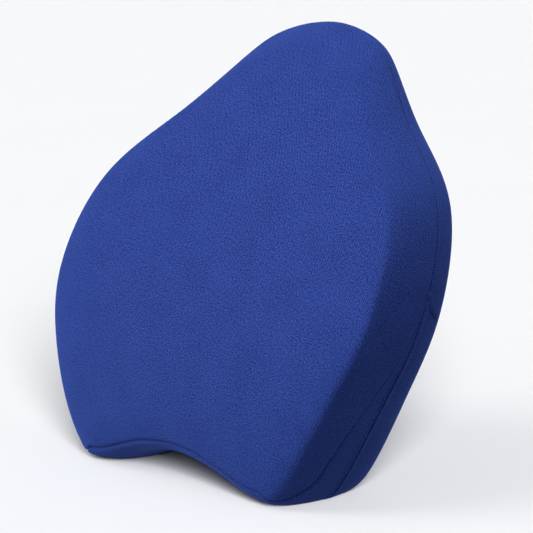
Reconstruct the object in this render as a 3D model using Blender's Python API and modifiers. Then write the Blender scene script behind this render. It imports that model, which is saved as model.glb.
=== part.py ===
"""Lumbar support cushion: a moulded foam core in a knitted liner, inside a zip-off fabric cover.

Metres, +Z up. The front face looks along -Y, and +X is to the right of a person facing it. The
origin is on the surface that the cushion stands on.

Every layer is a skin of one form, which is a function of two parameters. `around` runs clockwise
round the outline, from 0 at the crown to 1. `along` runs from the middle of the front face (0)
to where the front starts to turn (1), the back seam at the widest part (2), where the back
flattens (3), and the middle of the back (4).
"""

import math

import bmesh
import bpy
import numpy as np
from mathutils import Matrix, Vector

# Outline, seen from the front.
WIDTH = 0.410
HEIGHT = 0.400
FOOT_SINK = 0.0045  # how far the lobes are pressed flat where they stand
# Right half, from crown to notch: share of half the width, share of the height.
OUTLINE = (
    (0.000, 1.000),
    (0.280, 0.970),
    (0.409, 0.924),
    (0.630, 0.801),
    (0.921, 0.646),
    (1.000, 0.420),
    (0.893, 0.243),
    (0.644, 0.015),
    (0.517, 0.000),
    (0.403, 0.015),
    (0.253, 0.044),
    (0.000, 0.066),
)

# Side view. A row of sizes is read at even steps of height, from the foot to the crown.
BACK = (-0.0109, 0.0441, 0.1111)  # how far back the edge of the back is
THICKNESS = (0.096, 0.114, 0.086, 0.023)
SEAM_TO_BACK = (0.024, 0.033, 0.022, 0.009)
FRONT_TURN = (0.022, 0.017, 0.032)  # how far in from the outline the front starts to turn
BACK_TURN = 0.010
FRONT_CROWN = 0.010  # how far the middle of the front stands ahead of its sides
BACK_CROWN = 0.036  # how far the middle of the back stands behind its sides, at the foot
FACE_MIDDLE = 0.45  # height of the middle of both faces, as a share of the height

# Layers, from the outside in.
COVER = 0.0016
LINER = 0.0008
LAYER_GAP = 0.0006
EDGE_GAP = 0.0004  # between the edges of two panels that are sewn together

# The band under the lobes tapers up each side to the ends of the zip.
ZIP_END_HEIGHT = 0.190
BAND_START = 0.60  # where the band starts in the front turn at the notch, from 1 (along) onwards
BAND_TIP = 0.003  # how far the tip of the band reaches in front of the zip's tape

# Concealed coil zip in the back seam. Its parts hang from the cover, in a trough in the foam.
ZIP_GAP = 0.0003
ZIP_SLOT = 0.0024
TAPE_WIDTH = 0.0055
TAPE = 0.0005
COIL = 0.0014
COIL_CENTRES = ZIP_SLOT + COIL  # so that the coils' inner sides are flush with the slot's
TROUGH_SLOPE = 0.010
END_STOP = 0.003
END_GAP = 0.0012

# Slider, its pull and the folded fabric ends of the zip.
SLIDER_LENGTH = 0.010
SLIDER_WIDTH = 0.008
SLIDER_PLATE = 0.0012
SLIDER_NECK = 0.0008
SLIDER_NECK_LENGTH = 0.004
SLIDER_CLEARANCE = 0.0006
SLIDER_HEIGHT = 0.140  # of the parked slider
SLIDER_TRAVEL = 0.050
BAIL_RADIUS = 0.003
BAIL_WIRE = 0.0012
BAIL_LIFT = 0.0009  # of the pull's axis above the slider's plate
PULL_LENGTH = 0.024
PULL_WIDTH = 0.007
PULL_THICKNESS = 0.0012
EYE_CLEARANCE = 0.0005
EYE_WALL = 0.0013
TAB_WIDTH = 0.007
TAB_THICKNESS = 0.001
TAB_GAP = 0.0006
TAB_DROP = 0.016

UPPER_COLUMNS = 26
ZIP_COLUMNS = 50


def clear_scene():
    for old in list(bpy.data.objects):
        bpy.data.objects.remove(old, do_unlink=True)


def collection(name):
    made = bpy.data.collections.new(name)
    bpy.context.scene.collection.children.link(made)
    return made


def material(name, colour, roughness, metallic=0.0):
    made = bpy.data.materials.new(name)
    made.use_nodes = True
    made.diffuse_color = (*colour, 1.0)
    shader = made.node_tree.nodes["Principled BSDF"]
    shader.inputs["Base Color"].default_value = (*colour, 1.0)
    shader.inputs["Roughness"].default_value = roughness
    shader.inputs["Metallic"].default_value = metallic
    return made


# ---- the form ----------------------------------------------------------------------------------


def closed_spline(points, at):
    """Smooth closed curve through the points, and its direction, at parameters from 0 to 1.

    It is a periodic cubic spline whose knots are spaced by the square root of each chord.
    """
    points = np.asarray(points)
    count = len(points)
    here = np.arange(count)
    before, after = here - 1, (here + 1) % count
    chords = np.linalg.norm(points[after] - points, axis=1)
    knots = np.concatenate([[0.0], np.cumsum(np.sqrt(chords))])
    knots /= knots[-1]
    step = np.diff(knots)
    slope = (points[after] - points) / step[:, None]
    system = np.zeros((count, count))
    system[here, here] = 2 * (step[before] + step)
    system[here, before] += step[before]
    system[here, after] += step
    bend = np.linalg.solve(system, 6 * (slope - slope[before]))
    at = np.mod(at, 1.0)
    span = np.clip(np.searchsorted(knots, at, side="right") - 1, 0, count - 1)
    width = step[span][..., None]
    late = ((at - knots[span]) / step[span])[..., None]
    early = 1 - late
    start, end = points[span], points[after[span]]
    bend_start, bend_end = bend[span], bend[after[span]]
    place = early * start + late * end
    place += ((early**3 - early) * bend_start + (late**3 - late) * bend_end) * width**2 / 6
    direction = slope[span]
    direction = direction + ((3 * late**2 - 1) * bend_end - (3 * early**2 - 1) * bend_start) * width / 6
    return place, direction


def outline(around):
    """Place and outward direction on the outline, as (x, z) pairs."""
    half = [(x * WIDTH / 2, z * (HEIGHT + FOOT_SINK) - FOOT_SINK) for x, z in OUTLINE]
    mirrored = [(-x, z) for x, z in half[-2:0:-1]]
    place, direction = closed_spline(half + mirrored, around)
    outward = np.stack([-direction[..., 1], direction[..., 0]], -1)
    return place, outward / np.linalg.norm(outward, axis=-1, keepdims=True)


def read(sizes, z):
    """The polynomial through sizes at even steps of height, at height z."""
    steps = np.linspace(0, 1, len(sizes))
    return np.polyval(np.polyfit(steps, sizes, len(sizes) - 1), np.asarray(z) / HEIGHT)


def back_depth(x, z):
    crown = np.clip(1 - z / HEIGHT, 0, 1) * np.clip(1 - (2 * x / WIDTH) ** 2, 0, 1)
    return read(BACK, z) + BACK_CROWN * crown


def seam_depth(z):
    return read(BACK, z) - read(SEAM_TO_BACK, z)


def front_depth(x, z):
    return read(BACK, z) - read(THICKNESS, z) + FRONT_CROWN * (2 * x / WIDTH) ** 2


def form(around, along):
    """Points of the outer surface. Both turns are quarter ellipses that meet at the back seam."""
    around, along = np.broadcast_arrays(np.asarray(around, float), np.asarray(along, float))
    edge, outward = outline(around)
    front_angle = np.clip(along - 1, 0, 1) * math.pi / 2
    back_angle = np.clip(along - 2, 0, 1) * math.pi / 2
    in_front = along < 2
    front_inset = read(FRONT_TURN, edge[..., 1]) * (1 - np.sin(front_angle))
    inset = np.where(in_front, front_inset, BACK_TURN * (1 - np.cos(back_angle)))
    flat = edge - outward * inset[..., None]
    middle = np.array([0.0, FACE_MIDDLE * HEIGHT])
    spread = np.clip(np.minimum(along, 4 - along), 0, 1)
    flat = middle + (flat - middle) * spread[..., None]
    x, z = flat[..., 0], flat[..., 1]
    seam = seam_depth(edge[..., 1])
    front = seam - (seam - front_depth(x, z)) * np.cos(front_angle)
    back = seam + (back_depth(x, z) - seam) * np.sin(back_angle)
    return np.stack([x, np.where(in_front, front, back), np.maximum(z, 0.0)], -1)


def normal(around, along):
    """Outward normals of the form, from small steps along both parameters."""
    step = 1e-4
    along = np.clip(along, 0.02, 3.98)
    across = form(around + step, along) - form(around - step, along)
    down = form(around, along + step) - form(around, along - step)
    facing = np.cross(across, down)
    return facing / np.linalg.norm(facing, axis=-1, keepdims=True)


def skin(around, along, depth=0.0):
    """Points of the form moved inwards along its normals."""
    around, along = np.broadcast_arrays(np.asarray(around, float), np.asarray(along, float))
    return form(around, along) - normal(around, along) * np.asarray(depth)[..., None]


# ---- the grid that every layer shares ----------------------------------------------------------

SEAM_RING = 8
BAND_RING = 5
TAPE_REACH = ZIP_SLOT / 2 + TAPE_WIDTH  # from the back seam to each edge of the tape


def around_at_height(z):
    """`around` of the point on the right flank at this height, below the widest part."""
    dense = np.linspace(0.2, 0.45, 600)
    heights = outline(dense)[0][:, 1]
    return float(np.interp(-z, -heights, dense))


def before_seam(around, distance):
    """`along` of the point that lies this distance in front of the back seam."""
    (x, z) = np.moveaxis(outline(around)[0], -1, 0)
    return 2 - distance / (seam_depth(z) - front_depth(x, z)) * 2 / math.pi


def behind_seam(around, distance):
    (x, z) = np.moveaxis(outline(around)[0], -1, 0)
    return 2 + distance / (back_depth(x, z) - seam_depth(z)) * 2 / math.pi


def band_front(around):
    """`along` of the seam in front of the band, which closes on the back seam up each side."""
    z = np.clip(outline(around)[0][..., 1] / ZIP_END_HEIGHT, 0, 1)
    rise = z**2 * (3 - 2 * z)
    return (1 + BAND_START) * (1 - rise) + before_seam(around, TAPE_REACH + BAND_TIP) * rise


def grid_lines():
    """Columns of `around`, rings of `along` on each column, and which columns the zip spans."""
    end = around_at_height(ZIP_END_HEIGHT)
    upper = np.linspace(0, end, UPPER_COLUMNS // 2, endpoint=False)
    lower = np.linspace(end, 1 - end, ZIP_COLUMNS + 1)
    columns = np.concatenate([upper, lower, 1 - upper[:0:-1]])
    band = band_front(columns)
    near = before_seam(columns, TAPE_REACH)
    past = behind_seam(columns, TAPE_REACH)
    full = np.ones_like(columns)
    turn = band - 1
    rings = [0 * full, 0.55 * full, full, 1 + turn / 3, 1 + turn * 2 / 3, band]
    rings += [(band + near) / 2, near, 2 * full, np.minimum(past, 2.4), 2.62 * full, 3 * full]
    rings += [3.5 * full, 4 * full]
    spans_zip = (columns > end - 1e-9) & (columns < 1 - end + 1e-9)
    return columns, np.array(rings), spans_zip


COLUMN_LINES, RING_LINES, ON_ZIP = grid_lines()


def slider_track():
    """Start, way and outward side of the slider's straight travel, then the seam's rise and dip off it.

    The line runs midway between the seam's two edges of sideways drift. The dip counts the seam
    under the slider's ends too.
    """
    start = 1 - around_at_height(SLIDER_HEIGHT)
    dense = np.linspace(start + 0.02, start - 0.2, 500)
    seam = form(dense, 2.0)
    first = int(np.argmin(np.abs(dense - start)))
    reach = np.linalg.norm(seam[first:] - seam[first], axis=1)
    last = first + int(np.searchsorted(reach, SLIDER_TRAVEL))
    way = (seam[last] - seam[first]) / np.linalg.norm(seam[last] - seam[first])
    out = normal(dense[(first + last) // 2], 2.0)
    out = out - way * (out @ way)
    out /= np.linalg.norm(out)
    side = np.cross(out, way)
    off = seam - seam[first]
    drift = (off @ side)[first : last + 1]
    under = np.abs(off @ way - SLIDER_TRAVEL / 2) <= (SLIDER_TRAVEL + SLIDER_LENGTH) / 2
    rise = (off @ out)[under]
    place = seam[first] + side * (drift.min() + drift.max()) / 2
    return place, way, out, float(rise.max()), float(-rise.min())


COIL_DEPTH = COVER + 2 * ZIP_GAP + TAPE + COIL / 2
SLIDER_PLACE, SLIDER_WAY, SLIDER_OUT, SLIDER_BOW, SLIDER_DIP = slider_track()
PLATE_DEPTH = COIL_DEPTH + COIL / 2 + SLIDER_CLEARANCE + SLIDER_DIP  # of the inner plate's outer face
TROUGH_DEPTH = PLATE_DEPTH + SLIDER_PLATE + SLIDER_BOW + SLIDER_CLEARANCE


def trough():
    """Extra depth of the liner and the foam under the zip, fading over TROUGH_SLOPE."""
    (x, z) = np.moveaxis(outline(COLUMN_LINES)[0], -1, 0)
    front = (2 - RING_LINES) * (seam_depth(z) - front_depth(x, z)) * math.pi / 2
    behind = (RING_LINES - 2) * (back_depth(x, z) - seam_depth(z)) * math.pi / 2
    away = np.maximum(front, behind) - TAPE_REACH
    inside = ON_ZIP & np.roll(ON_ZIP, 1) & np.roll(ON_ZIP, -1)
    return (TROUGH_DEPTH - COVER - LAYER_GAP) * inside * np.clip(1 - away / TROUGH_SLOPE, 0, 1)


def grid_points(around, along, depth):
    """Points of the whole grid, with each pole at the mean of its ring."""
    points = skin(around, along, np.broadcast_to(depth, RING_LINES.shape))
    points[[0, -1]] = points[[0, -1]].mean(axis=1, keepdims=True)
    return points.reshape(-1, 3)


def faces_of(chosen):
    """Triangles of the chosen cells, facing outwards, cut the same way in every layer."""
    count = len(COLUMN_LINES)
    last = len(RING_LINES) - 1

    def corner(ring, column):
        return ring * count + (0 if ring in (0, last) else column % count)

    faces = []
    for ring, column in np.argwhere(chosen).tolist():
        near, near_next = corner(ring, column), corner(ring, column + 1)
        far, far_next = corner(ring + 1, column), corner(ring + 1, column + 1)
        triangles = (near, near_next, far_next), (near, far_next, far)
        faces += [triangle for triangle in triangles if len(set(triangle)) == 3]
    return faces


def new_object(name, mesh, look, group):
    made = bpy.data.objects.new(name, mesh)
    mesh.materials.append(look)
    group.objects.link(made)
    return made


def mesh_from(name, points, faces):
    """Mesh without the points that no face uses."""
    mesh = bpy.data.meshes.new(name)
    mesh.from_pydata(points.tolist(), [], faces)
    work = bmesh.new()
    work.from_mesh(mesh)
    loose = [vertex for vertex in work.verts if not vertex.link_faces]
    bmesh.ops.delete(work, geom=loose, context="VERTS")
    work.to_mesh(mesh)
    work.free()
    mesh.shade_smooth()
    return mesh


def walled(outer, inner, faces):
    """Points and faces of the closed shell between two surfaces that share their faces."""
    count = len(outer)
    edges = {pair for face in faces for pair in zip(face, face[1:] + face[:1])}
    rim = sorted((b, a, a + count, b + count) for a, b in edges if (b, a) not in edges)
    lining = [tuple(corner + count for corner in reversed(face)) for face in faces]
    return np.vstack([outer, inner]), faces + lining + rim


def panel(name, chosen, depth, thickness, look, group):
    """A skin over the chosen cells, its edges drawn back to leave a gap to the next panel."""
    count = len(COLUMN_LINES)
    padded = np.vstack([np.zeros(count, bool), chosen, np.zeros(count, bool)]).astype(int)
    above, below = padded[:-1], padded[1:]
    ring_move = np.sign(below + np.roll(below, 1, 1) - above - np.roll(above, 1, 1))
    column_move = np.sign(above + below - np.roll(above, 1, 1) - np.roll(below, 1, 1))
    ring_move[[0, -1]] = 0
    around = np.broadcast_to(COLUMN_LINES, RING_LINES.shape)
    step = 1e-3
    ring_size = np.linalg.norm(form(around, RING_LINES + step) - form(around, RING_LINES - step), axis=-1)
    column_size = np.linalg.norm(form(around + step, RING_LINES) - form(around - step, RING_LINES), axis=-1)
    gap = np.full(RING_LINES.shape, EDGE_GAP)
    gap[SEAM_RING] = np.where(ON_ZIP, ZIP_SLOT, EDGE_GAP)
    along = RING_LINES + ring_move * gap * step / np.maximum(ring_size, 1e-9)
    inner = np.ones(len(RING_LINES), bool)
    inner[[0, -1]] = False
    moved = column_move * EDGE_GAP * step / np.maximum(column_size, 1e-9) * inner[:, None]
    outer = grid_points(around + moved, along, depth)
    inner = grid_points(around + moved, along, depth + thickness)
    new_object(name, mesh_from(name, *walled(outer, inner, faces_of(chosen))), look, group)


def cells(first, last, columns=None):
    """Mask of the cells between two rings, over all columns or those whose cells are given."""
    mask = np.zeros((len(RING_LINES) - 1, len(COLUMN_LINES)), bool)
    mask[first:last] = True if columns is None else columns
    return mask


# ---- the pieces --------------------------------------------------------------------------------


def foam_core(look, group):
    depth = COVER + 2 * LAYER_GAP + LINER + trough()
    points = grid_points(COLUMN_LINES, RING_LINES, depth)
    mesh = mesh_from("foam_core", points, faces_of(cells(0, len(RING_LINES) - 1)))
    new_object("foam_core", mesh, look, group)


def liner(look, group):
    depth = COVER + LAYER_GAP + trough()
    panel("liner_front", cells(0, SEAM_RING), depth, LINER, look, group)
    panel("liner_back", cells(SEAM_RING, len(RING_LINES) - 1), depth, LINER, look, group)


def cover(look, group):
    """Front panel, the band under the lobes, and the back panel."""
    band_columns = ON_ZIP & np.roll(ON_ZIP, -1)
    band = cells(BAND_RING, SEAM_RING, band_columns)
    panel("cover_front_panel", cells(0, SEAM_RING) & ~band, 0.0, COVER, look, group)
    panel("cover_bottom_band", band, 0.0, COVER, look, group)
    panel("cover_back_panel", cells(SEAM_RING, len(RING_LINES) - 1), 0.0, COVER, look, group)


def zip_columns():
    """Columns of the zip, which stops one column short of the ends of the band."""
    return COLUMN_LINES[ON_ZIP][1:-1]


def zip_tapes(look, group):
    columns = zip_columns()
    depth = COVER + ZIP_GAP
    for side, at in (("front", before_seam), ("back", behind_seam)):
        lines = np.array([at(columns, reach) for reach in (ZIP_SLOT / 2, TAPE_REACH)])
        points = skin(columns, lines, np.full(lines.shape, depth)).reshape(-1, 3)
        here = np.arange(len(columns) - 1)
        far = here + len(columns)
        if side == "front":
            faces = np.vstack([np.stack([far, far + 1, here + 1], -1), np.stack([far, here + 1, here], -1)])
        else:
            faces = np.vstack([np.stack([here, here + 1, far + 1], -1), np.stack([here, far + 1, far], -1)])
        mesh = bpy.data.meshes.new(f"zip_tape_{side}")
        mesh.from_pydata(points.tolist(), [], faces.tolist())
        made = new_object(f"zip_tape_{side}", mesh, look, group)
        solidify = made.modifiers.new("Thickness", "SOLIDIFY")
        solidify.thickness = TAPE
        solidify.offset = -1


def wire(name, points, thickness, look, group):
    """Round rod along the points, with closed ends."""
    curve = bpy.data.curves.new(name, "CURVE")
    curve.dimensions = "3D"
    curve.bevel_depth = thickness / 2
    curve.bevel_resolution = 1
    curve.use_fill_caps = True
    spline = curve.splines.new("POLY")
    spline.points.add(len(points) - 1)
    for point, place in zip(spline.points, points):
        point.co = (*place, 1.0)
    made = bpy.data.objects.new(name, curve)
    curve.materials.append(look)
    group.objects.link(made)
    return made


def as_mesh(obj, group):
    """The same object as a mesh with its caps welded on, so that it can be joined to others."""
    bpy.context.view_layer.update()
    evaluated = obj.evaluated_get(bpy.context.evaluated_depsgraph_get())
    mesh = bpy.data.meshes.new_from_object(evaluated)
    work = bmesh.new()
    work.from_mesh(mesh)
    bmesh.ops.remove_doubles(work, verts=work.verts, dist=1e-6)
    work.to_mesh(mesh)
    work.free()
    made = bpy.data.objects.new(obj.name, mesh)
    made.matrix_world = obj.matrix_world
    name = obj.name
    bpy.data.objects.remove(obj, do_unlink=True)
    made.name = name
    group.objects.link(made)
    return made


def frame_at(place, down, out):
    """Matrix whose x runs down the zip, z points out of the cover and y completes them."""
    down = Vector(down).normalized()
    out = Vector(out)
    out = (out - down * out.dot(down)).normalized()
    side = out.cross(down)
    turn = Matrix((down, side, out)).transposed().to_4x4()
    return Matrix.Translation(Vector(place)) @ turn


def box(name, size, centre, frame, look, group, round_off=0.0):
    bpy.ops.mesh.primitive_cube_add(size=1)
    made = bpy.context.active_object
    made.name = name
    made.data.transform(Matrix.Translation(centre) @ Matrix.Diagonal((*size, 1.0)))
    made.matrix_world = frame
    made.data.materials.append(look)
    for holder in list(made.users_collection):
        holder.objects.unlink(made)
    group.objects.link(made)
    if round_off:
        bevel = made.modifiers.new("Rounding", "BEVEL")
        bevel.width = round_off
        bevel.segments = 2
    return made


def zip_coils(look, group):
    columns = zip_columns()
    for side, at in (("front", before_seam), ("back", behind_seam)):
        lines = at(columns, COIL_CENTRES / 2)
        points = skin(columns, lines, np.full(len(columns), COIL_DEPTH))
        wire(f"zip_coil_{side}", points, COIL, look, group)


def zip_stops(look, group):
    """Two stops at the slider's end of the zip, one on each coil, and one across both at the other."""
    columns = zip_columns()
    for end, step, sides in ((columns[-1], 1, (("front", before_seam), ("back", behind_seam))),):
        for side, at in sides:
            line = at(np.array([end]), np.array([COIL_CENTRES / 2]))
            place = skin(np.array([end]), line, np.array([COIL_DEPTH]))[0]
            ahead = skin(np.array([end + step * 1e-3]), line, np.array([COIL_DEPTH]))[0]
            frame = frame_at(place, ahead - place, normal(np.array([end]), line)[0])
            size = (END_STOP, COIL, COIL)
            centre = Vector((END_STOP / 2 + END_GAP, 0, 0))
            box(f"zip_top_stop_{side}", size, centre, frame, look, group)
    start = columns[0]
    place = skin(np.array([start]), np.array([2.0]), np.array([COIL_DEPTH]))[0]
    ahead = skin(np.array([start - 1e-3]), np.array([2.0]), np.array([COIL_DEPTH]))[0]
    frame = frame_at(place, ahead - place, normal(np.array([start]), np.array([2.0]))[0])
    size = (END_STOP, COIL_CENTRES + COIL, COIL)
    box("zip_bottom_stop", size, Vector((END_STOP / 2 + END_GAP, 0, 0)), frame, look, group)


def slider_frame():
    return frame_at(SLIDER_PLACE, SLIDER_WAY, SLIDER_OUT)


def pull_frame():
    """Axis of the pull, with x along the way that it hangs."""
    frame = slider_frame()
    side = frame.to_3x3().col[1]
    lift = SLIDER_CLEARANCE + SLIDER_BOW + SLIDER_PLATE + BAIL_LIFT
    axis = frame @ Vector((0, 0, lift))
    down = Vector((0, 0, -1))
    hang = (down - side * down.dot(side)).normalized()
    turn = Matrix((hang, side, hang.cross(side))).transposed().to_4x4()
    return Matrix.Translation(axis) @ turn


def zip_slider(look, group):
    """Plates over and under the coils, joined by a neck in the slot, with a bail for the pull."""
    frame = slider_frame()
    lift = SLIDER_CLEARANCE + SLIDER_BOW
    plate = (SLIDER_LENGTH, SLIDER_WIDTH, SLIDER_PLATE)
    top = Vector((0, 0, lift + SLIDER_PLATE / 2))
    slider = box("zip_slider", plate, top, frame, look, group, SLIDER_PLATE / 4)
    under = Vector((0, 0, -PLATE_DEPTH - SLIDER_PLATE / 2))
    inner = box("inner_plate", plate, under, frame, look, group, SLIDER_PLATE / 4)
    neck_top, neck_bottom = lift + SLIDER_PLATE / 2, -PLATE_DEPTH - SLIDER_PLATE / 2
    neck_size = (SLIDER_NECK_LENGTH, SLIDER_NECK, neck_top - neck_bottom)
    neck_centre = Vector((0, 0, (neck_top + neck_bottom) / 2))
    neck = box("neck", neck_size, neck_centre, frame, look, group)
    angles = np.linspace(0, math.pi, 13)
    level = lift + SLIDER_PLATE + BAIL_LIFT
    arch = [(BAIL_RADIUS * math.cos(a), 0, level + BAIL_RADIUS * math.sin(a)) for a in angles]
    foot = lift + SLIDER_PLATE / 2
    arch = [(BAIL_RADIUS, 0, foot), *arch, (-BAIL_RADIUS, 0, foot)]
    bail = wire("bail", [frame @ Vector(p) for p in arch], BAIL_WIRE, look, group)
    for joined in (inner, neck, as_mesh(bail, group)):
        union(slider, joined)
    return slider


def union(base, added):
    """Joins a helper into an object, then hides the helper from the render."""
    modifier = base.modifiers.new(added.name, "BOOLEAN")
    modifier.operation = "UNION"
    modifier.object = added
    hide(added)


def hide(helper):
    helper.hide_render = True
    helper.display_type = "WIRE"


def zip_pull(look, group):
    """Flat teardrop with an eye round the bail."""
    eye = BAIL_WIRE / 2 + EYE_CLEARANCE
    outer = eye + EYE_WALL
    far = BAIL_RADIUS - outer + PULL_LENGTH - PULL_WIDTH / 2
    curve = bpy.data.curves.new("zip_pull", "CURVE")
    curve.dimensions = "2D"
    curve.fill_mode = "BOTH"
    curve.extrude = PULL_THICKNESS / 2
    near_arc = np.linspace(math.pi / 2, 3 * math.pi / 2, 13)
    far_arc = np.linspace(-math.pi / 2, math.pi / 2, 13)
    rim = [(BAIL_RADIUS + outer * math.cos(a), outer * math.sin(a)) for a in near_arc]
    rim += [(far + PULL_WIDTH / 2 * math.cos(a), PULL_WIDTH / 2 * math.sin(a)) for a in far_arc]
    hole_arc = np.linspace(0, 2 * math.pi, 16, endpoint=False)
    hole = [(BAIL_RADIUS + eye * math.cos(a), eye * math.sin(a)) for a in hole_arc]
    for loop in (rim, hole):
        spline = curve.splines.new("POLY")
        spline.points.add(len(loop) - 1)
        spline.use_cyclic_u = True
        for point, (x, y) in zip(spline.points, loop):
            point.co = (x, y, 0.0, 1.0)
    curve.materials.append(look)
    made = bpy.data.objects.new("zip_pull", curve)
    made.matrix_world = pull_frame()
    group.objects.link(made)
    return made


def zip_end_tabs(look, group):
    """Folded ends of the back panel, which run down and back from each end of the zip."""
    top = around_at_height(ZIP_END_HEIGHT)
    low = around_at_height(ZIP_END_HEIGHT - TAB_DROP)
    wide = around_at_height(ZIP_END_HEIGHT - TAB_WIDTH) - top
    column = int(np.argmin(np.abs(COLUMN_LINES - top)))
    along = RING_LINES[SEAM_RING : SEAM_RING + 4, column].copy()
    along[0] += 0.02
    run = np.linspace(0, 1, len(along))
    around = np.array([top + (low - top) * run, top + (low - top) * run + wide])
    for side, sign in (("right", 1), ("left", -1)):
        lines = around if sign == 1 else 1 - around
        points = skin(lines, along, np.full(lines.shape, -TAB_GAP - TAB_THICKNESS)).reshape(-1, 3)
        here = np.arange(len(along) - 1)
        faces = np.stack([here, here + len(along), here + len(along) + 1, here + 1], -1)
        faces = faces if sign == 1 else faces[:, ::-1]
        mesh = bpy.data.meshes.new(f"zip_end_tab_{side}")
        mesh.from_pydata(points.tolist(), [], faces.tolist())
        made = new_object(f"zip_end_tab_{side}", mesh, look, group)
        solidify = made.modifiers.new("Thickness", "SOLIDIFY")
        solidify.thickness = TAB_THICKNESS
        solidify.offset = -1


def build():
    clear_scene()
    parts = collection("lumbar_cushion")
    helpers = collection("helpers")
    fabric = material("cover_fabric", (0.032, 0.065, 0.290), 0.9)
    foam = material("foam", (0.82, 0.80, 0.72), 0.95)
    knit = material("liner_knit", (0.80, 0.80, 0.80), 0.9)
    tape = material("zip_tape", (0.020, 0.040, 0.180), 0.85)
    nylon = material("zip_coil", (0.015, 0.030, 0.140), 0.45)
    metal = material("slider_metal", (0.55, 0.56, 0.58), 0.30, 1.0)
    foam_core(foam, parts)
    liner(knit, parts)
    cover(fabric, parts)
    zip_tapes(tape, parts)
    zip_coils(nylon, parts)
    zip_stops(metal, parts)
    zip_slider(metal, parts)
    zip_pull(metal, parts)
    zip_end_tabs(fabric, parts)
    for helper in [obj for obj in parts.objects if obj.hide_render]:
        parts.objects.unlink(helper)
        helpers.objects.link(helper)


build()
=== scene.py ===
"""Looks of the lumbar support cushion: zip-off velour cover, zip, liner and moulded foam.

Metres, +Z up, front towards -Y. The surfaces are functions of two parameters: `around` runs
clockwise round the outline from the crown, 0 to 1, and `along` runs from the middle of the front
face (0) through the turn of the front (1), the back seam (2) and the turn of the back (3) to the
middle of the back (4).
"""

import math

import bpy
import numpy as np
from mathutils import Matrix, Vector


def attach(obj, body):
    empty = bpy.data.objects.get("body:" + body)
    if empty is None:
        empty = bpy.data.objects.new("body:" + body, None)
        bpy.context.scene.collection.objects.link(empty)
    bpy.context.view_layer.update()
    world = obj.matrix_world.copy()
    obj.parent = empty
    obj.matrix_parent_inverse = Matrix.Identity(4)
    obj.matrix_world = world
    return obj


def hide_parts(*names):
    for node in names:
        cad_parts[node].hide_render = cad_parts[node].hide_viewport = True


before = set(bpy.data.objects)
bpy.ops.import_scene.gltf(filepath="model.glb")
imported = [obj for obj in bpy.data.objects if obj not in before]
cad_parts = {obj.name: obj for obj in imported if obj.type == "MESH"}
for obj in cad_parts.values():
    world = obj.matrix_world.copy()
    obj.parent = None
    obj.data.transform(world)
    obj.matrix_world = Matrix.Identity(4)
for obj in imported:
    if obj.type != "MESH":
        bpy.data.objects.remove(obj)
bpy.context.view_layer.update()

# ---- Camera ------------------------------------------------------------------------------------
# A long lens more than two metres away, turned to the cushion's right and a little above it, so
# that the front face, the right flank and the undersides of both lobes show.

CAMERA_TURN = math.radians(45.7)
CAMERA_RISE = math.radians(10.5)
CAMERA_AWAY = 2.368
CAMERA_LENS = 177.0
LOOK_AT = Vector((0.0136, 0.0040, 0.1860))

camera_back = Vector((
    math.sin(CAMERA_TURN) * math.cos(CAMERA_RISE),
    -math.cos(CAMERA_TURN) * math.cos(CAMERA_RISE),
    math.sin(CAMERA_RISE),
))
lens = bpy.data.cameras.new("camera")
lens.lens = CAMERA_LENS
lens.clip_end = 50.0
camera = bpy.data.objects.new("camera", lens)
camera.location = LOOK_AT + camera_back * CAMERA_AWAY
camera.rotation_mode = "QUATERNION"
camera.rotation_quaternion = (-camera_back).to_track_quat("-Z", "Y")
bpy.context.scene.collection.objects.link(camera)
bpy.context.scene.camera = camera

# ---- Cover, front panel ------------------------------------------------------------------------
# One piece of stretch velour, 1.6 mm thick, is pulled over the face, the crown and both flanks.
# Its edge is turned in and sewn to the back panel above, and to the bottom band below.

WIDTH, HEIGHT, FOOT_SINK = 0.410, 0.400, 0.0045
# Right half of the outline, from crown to notch: share of half the width, share of the height.
OUTLINE = (
    (0.000, 1.000), (0.280, 0.970), (0.409, 0.924), (0.630, 0.801), (0.921, 0.646),
    (1.000, 0.420), (0.893, 0.243), (0.644, 0.015), (0.517, 0.000), (0.403, 0.015),
    (0.253, 0.044), (0.000, 0.066),
)
# Side view, read at even steps of height from the foot to the crown.
BACK = (-0.0109, 0.0441, 0.1111)
THICKNESS = (0.096, 0.114, 0.086, 0.023)
SEAM_TO_BACK = (0.024, 0.033, 0.022, 0.009)
FRONT_TURN = (0.019, 0.009, 0.031)
TURN_EASE, TURN_EASE_FADE = 0.36, 0.85
# Shift and weight of each point in the mean that eases the turn of the front.
TURN_EASE_SHARES = (
    (-1.0, 0.08), (-0.6, 0.17), (-0.25, 0.25), (0.25, 0.25), (0.6, 0.17), (1.0, 0.08),
)
BACK_TURN = 0.010
FRONT_CROWN, BACK_CROWN = 0.010, 0.036
FACE_MIDDLE = 0.45

COVER = 0.0016
ZIP_END_HEIGHT, ZIP_END_FADE = 0.190, 0.004
BAND_FLANK, BAND_FOOT = 1.66, 1.14
BAND_TURNS_FROM, BAND_TURNS_BY = 0.336, 0.045
# The band's seam is pulled in fully up to the top of the feet, then less and less.
BAND_LOOSE, FEET_TOP, LOOSE_BY = 0.78, 0.035, 0.060
# Distance of a sewn edge from its seam: in metres, and as a step of `along`.
SEAM_GAP, SEAM_STEP = 0.0001, 0.0014
SEAM_DIP, SEAM_DIP_WIDTH = 0.0013, 0.0011
SEAM_PUFF, SEAM_PUFF_WIDTH = 0.0006, 0.005
LIP_ROUND, LIP_RIDGE, LIP_RIDGE_WIDTH = 0.0008, 0.0007, 0.0022
COLUMNS = np.arange(480) / 480
HIDDEN_STEP = 3


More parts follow.
